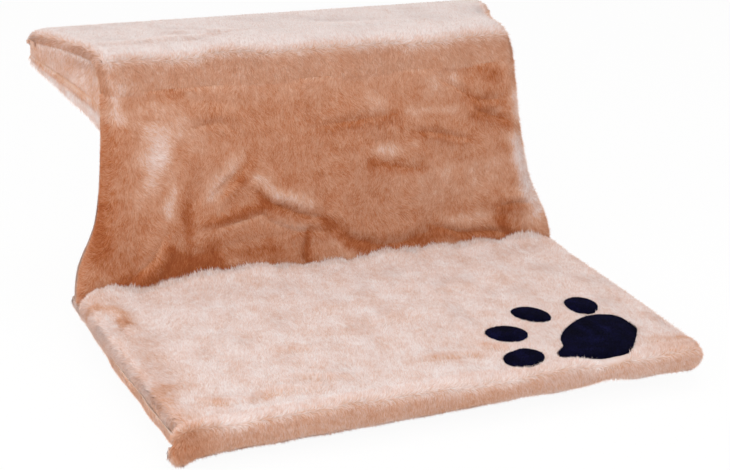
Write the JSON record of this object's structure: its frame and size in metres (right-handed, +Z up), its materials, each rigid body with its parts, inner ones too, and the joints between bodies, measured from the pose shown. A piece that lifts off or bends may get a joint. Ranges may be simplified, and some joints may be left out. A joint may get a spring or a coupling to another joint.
{
  "type": "radiator cat bed",
  "caption": "Plush-covered cat hammock on a bent steel tube frame that hangs over a radiator by two hooks, with a padded seat, leaning back, top shelf and a paw print.",
  "frame": {"origin": "middle of the flat underside of the shelf, the face that lies on the radiator's top", "axes": "+X to the right seen from the seat, +Y from the seat towards the radiator and the wall, +Z up"},
  "size_m": [0.472, 0.4553, 0.228],
  "materials": {
    "steel_frame": "satin white powder coat",
    "hook_steel": "satin white powder coat",
    "zinc_fasteners": "zinc plated",
    "black_plastic": "matte",
    "pale_plush": "short dense plush pile",
    "lining_cloth": "woven polyester",
    "polyester_wadding": "fibre fill",
    "closure_tape": "hook-and-loop tape",
    "navy_plush": "short dense plush pile"
  },
  "bodies": {
    "root": {"left_rail": "steel_frame", "right_rail": "steel_frame", "front_crossbar": "steel_frame", "crease_crossbar": "steel_frame", "top_crossbar": "steel_frame", "rear_crossbar": "steel_frame", "left_hook": "hook_steel", "right_hook": "hook_steel", "front_and_top_bolts": "zinc_fasteners", "rear_bolts": "zinc_fasteners", "cross_bolts": "zinc_fasteners", "cross_nuts": "zinc_fasteners", "crossbar_caps": "black_plastic", "end_saddles": "black_plastic", "cross_saddles": "black_plastic", "thread_inserts": "black_plastic", "hook_sleeves": "black_plastic", "seat_top_panel": "pale_plush", "front_band": "pale_plush", "back_front_panel": "pale_plush", "shelf_top_panel": "pale_plush", "rear_band": "pale_plush", "left_side_web": "pale_plush", "right_side_web": "pale_plush", "seat_under_panel": "lining_cloth", "back_rear_panel": "lining_cloth", "shelf_under_panel": "lining_cloth", "corner_lining": "lining_cloth", "seat_wadding": "polyester_wadding", "back_wadding": "polyester_wadding", "shelf_wadding": "polyester_wadding", "closure_loop_tape": "closure_tape", "closure_hook_tape": "closure_tape", "paw_main_pad": "navy_plush", "paw_toe_right": "navy_plush", "paw_toe_inner_right": "navy_plush", "paw_toe_inner_left": "navy_plush", "paw_toe_left": "navy_plush"}
  },
  "joints": []
}
